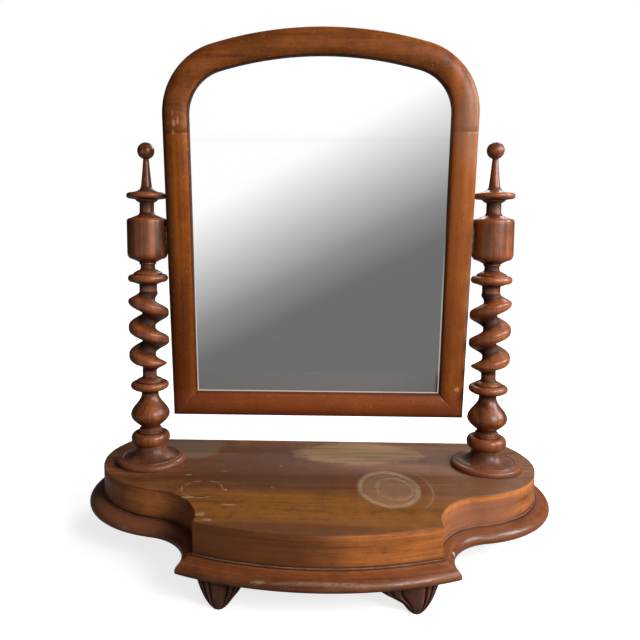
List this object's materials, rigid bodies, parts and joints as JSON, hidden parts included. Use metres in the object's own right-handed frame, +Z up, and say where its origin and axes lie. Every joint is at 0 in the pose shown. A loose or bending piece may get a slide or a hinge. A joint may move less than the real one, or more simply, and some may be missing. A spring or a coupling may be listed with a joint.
{
  "type": "dressing table mirror",
  "caption": "Arched swing mirror between two twist-turned posts on a serpentine box base with a moulded board and short carved feet",
  "frame": {"origin": "on the floor, at the middle of the base board's width and depth", "axes": "+X to the right as seen from the front, +Y to the back (the front faces -Y), +Z up"},
  "size_m": [0.618, 0.323, 0.6457],
  "materials": {
    "frame_wood": "satin polish, warm orange-brown mahogany",
    "arch_wood": "satin polish, slightly redder mahogany",
    "turned_wood": "satin polish, red-brown mahogany, darkened in the hollows",
    "top_wood": "worn polish with a pale faded patch, a ring mark and scratches",
    "panel_wood": "satin polish, fine grain along the panel",
    "board_wood": "satin polish, rubbed pale on the nose of the moulding",
    "foot_wood": "dull grey-brown, old polish",
    "pine": "bare, aged pine",
    "brass": "dull brass",
    "steel": "darkened iron",
    "mirror": "silvered plate glass"
  },
  "bodies": {
    "stand": {"base_board": "board_wood", "board_moulding": "board_wood", "plinth_front": "panel_wood", "plinth_side_left": "panel_wood", "plinth_side_right": "panel_wood", "plinth_back": "pine", "top_board": "top_wood", "post_blocks": "pine", "glue_blocks": "pine", "base_screws": "steel", "post_screws": "steel", "foot_front_left": "foot_wood", "foot_front_right": "foot_wood", "foot_back_left": "foot_wood", "foot_back_right": "foot_wood", "post_base_left": "turned_wood", "post_base_right": "turned_wood", "post_left": "turned_wood", "post_right": "turned_wood", "post_swivel_left": "brass", "post_swivel_right": "brass", "post_swivel_screws": "steel"},
    "mirror": {"frame_arch": "arch_wood", "frame_stile_left": "frame_wood", "frame_stile_right": "frame_wood", "frame_rail": "frame_wood", "frame_dowels": "pine", "corner_keys": "frame_wood", "mirror_glass": "mirror", "glass_blocks": "pine", "backboard": "pine", "backboard_pins": "steel", "frame_swivel_left": "brass", "frame_swivel_right": "brass", "frame_swivel_screws": "steel"}
  },
  "joints": [
    {"name": "mirror_tilt", "type": "hinge", "parent": "stand", "child": "mirror", "pos_m": [0, 0.0645, 0.3875], "axis": [1, 0, 0], "range_deg": [-96.5, 83.5]}
  ]
}
